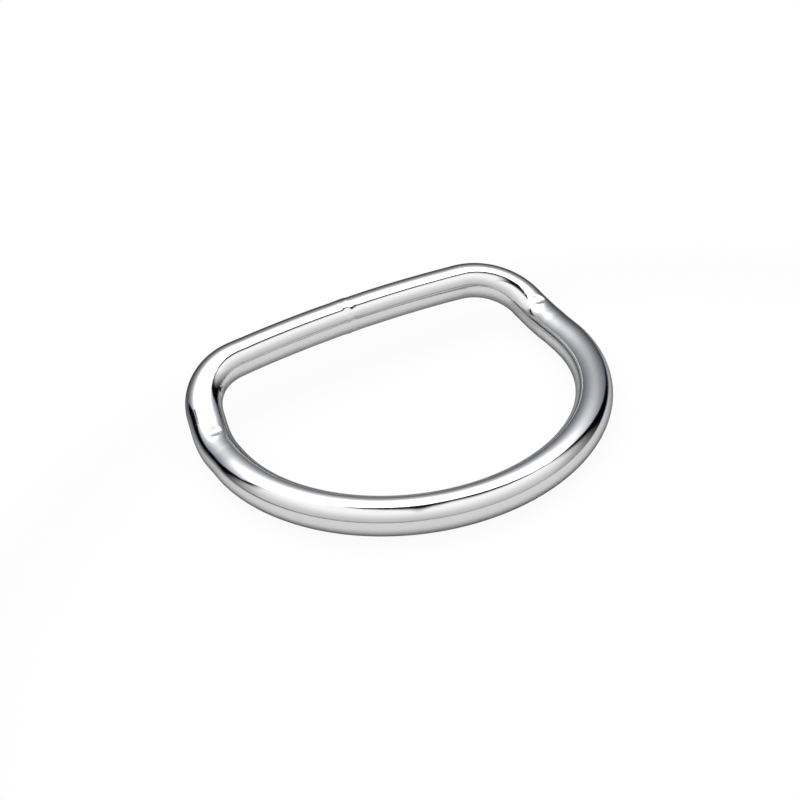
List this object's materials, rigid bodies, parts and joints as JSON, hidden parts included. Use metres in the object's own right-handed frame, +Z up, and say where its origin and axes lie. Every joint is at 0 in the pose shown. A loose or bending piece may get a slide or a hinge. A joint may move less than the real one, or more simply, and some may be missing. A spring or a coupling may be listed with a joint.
{
  "type": "bent d ring",
  "caption": "D ring of round wire, folded so that its straight bar stands up from the flat bow; webbing loops round the bar and a hook clips to the bow.",
  "frame": {"origin": "on the surface that the bow lies on, under the middle of the ring's box", "axes": "+X along the bar, +Y from the bow towards the bar, +Z up from the bow's plane to the side where the bar stands up"},
  "size_m": [0.0604, 0.0497, 0.0104],
  "materials": {
    "steel": "polished stainless steel wire with faint drawing lines"
  },
  "bodies": {
    "root": {"ring": "steel"}
  },
  "joints": []
}
